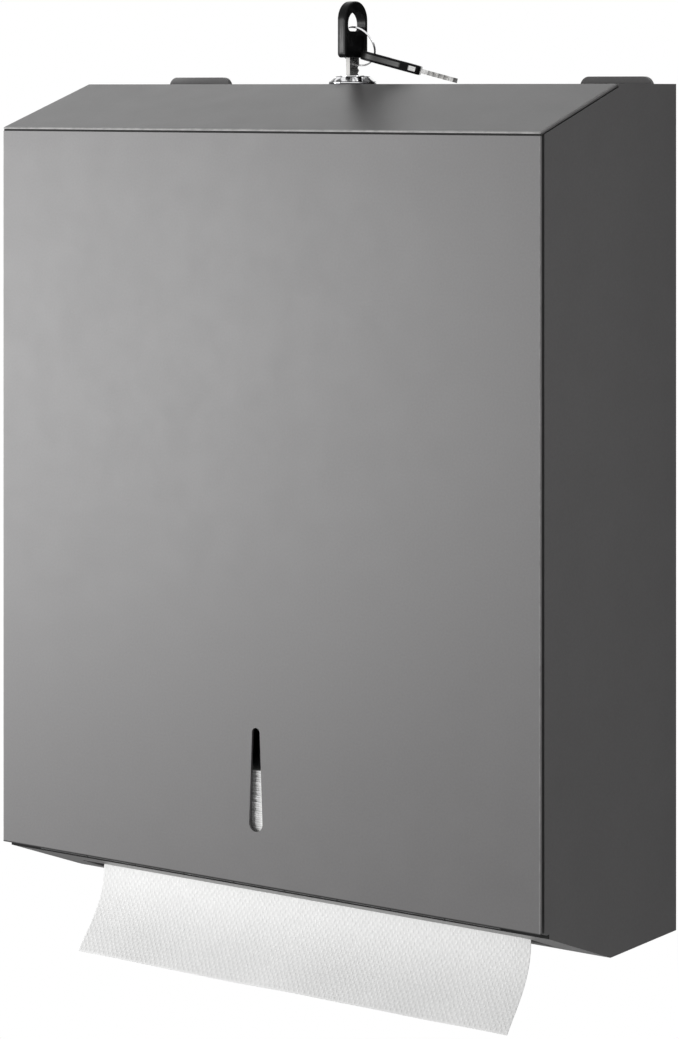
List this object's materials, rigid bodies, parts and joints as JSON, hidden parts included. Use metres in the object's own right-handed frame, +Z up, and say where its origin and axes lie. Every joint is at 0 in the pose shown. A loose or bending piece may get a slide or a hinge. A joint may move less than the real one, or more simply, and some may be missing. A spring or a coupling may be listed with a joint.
{
  "type": "paper towel dispenser",
  "caption": "Wall-mounted sheet-metal cabinet for folded paper towels, with a door hinged at its foot, a view slot, a cam lock with keys, and a towel out of the bottom.",
  "frame": {"origin": "on the wall plane, in the middle of the four screw holes in the back panel", "axes": "+X to the right seen from the front, +Y into the wall, +Z up"},
  "size_m": [0.28, 0.108, 0.4201],
  "materials": {
    "casing": "satin grey",
    "plated_steel": "zinc plated",
    "lock_chrome": "polished",
    "bow_plastic": "moulded black",
    "bumper_rubber": "matte",
    "towel_paper": "embossed white"
  },
  "bodies": {
    "cabinet": {"back_panel": "casing", "left_side_panel": "casing", "right_side_panel": "casing", "top_panel": "casing", "bottom_panel": "casing", "hinge_fixed_leaf": "plated_steel", "hinge_pin": "plated_steel", "door_bumpers": "bumper_rubber", "lock_housing": "lock_chrome", "lock_washer": "plated_steel", "lock_nut": "plated_steel", "towel_stack": "towel_paper"},
    "door": {"front_door": "casing", "hinge_door_leaf": "plated_steel", "lock_strike": "plated_steel", "strike_rivets": "plated_steel"},
    "plug": {"lock_plug": "lock_chrome", "lock_cam": "plated_steel", "cam_washer": "plated_steel", "cam_screw": "plated_steel"},
    "key": {"key_blade": "lock_chrome", "key_bow": "bow_plastic"},
    "ring": {"key_ring": "lock_chrome"},
    "spare_key": {"spare_key_blade": "lock_chrome", "spare_key_bow": "bow_plastic"},
    "towel": {"towel_tail": "towel_paper"}
  },
  "joints": [
    {"name": "door_hinge", "type": "hinge", "parent": "cabinet", "child": "door", "pos_m": [0, -0.1045, -0.1568], "axis": [1, 0, 0], "range_deg": [0, 100]},
    {"name": "lock_turn", "type": "hinge", "parent": "cabinet", "child": "plug", "pos_m": [0, -0.0376, 0.178], "axis": [0, 0, -1], "range_deg": [0, 90]},
    {"name": "key_slide", "type": "slide", "parent": "plug", "child": "key", "axis": [0, 0, 1], "range_m": [0, 0.02]},
    {"name": "ring_swing", "type": "hinge", "parent": "key", "child": "ring", "pos_m": [0, -0.04065, 0.2027], "axis": [1, 0, 0], "range_deg": [0, 25]},
    {"name": "spare_key_swing", "type": "hinge", "parent": "ring", "child": "spare_key", "pos_m": [0.00895, -0.03443, 0.18936], "axis": [0.6157, -0.333, 0.7142], "range_deg": [0, 20]},
    {"name": "towel_pull", "type": "slide", "parent": "cabinet", "child": "towel", "axis": [0, 0, -1], "range_m": [0, 0.05]}
  ]
}
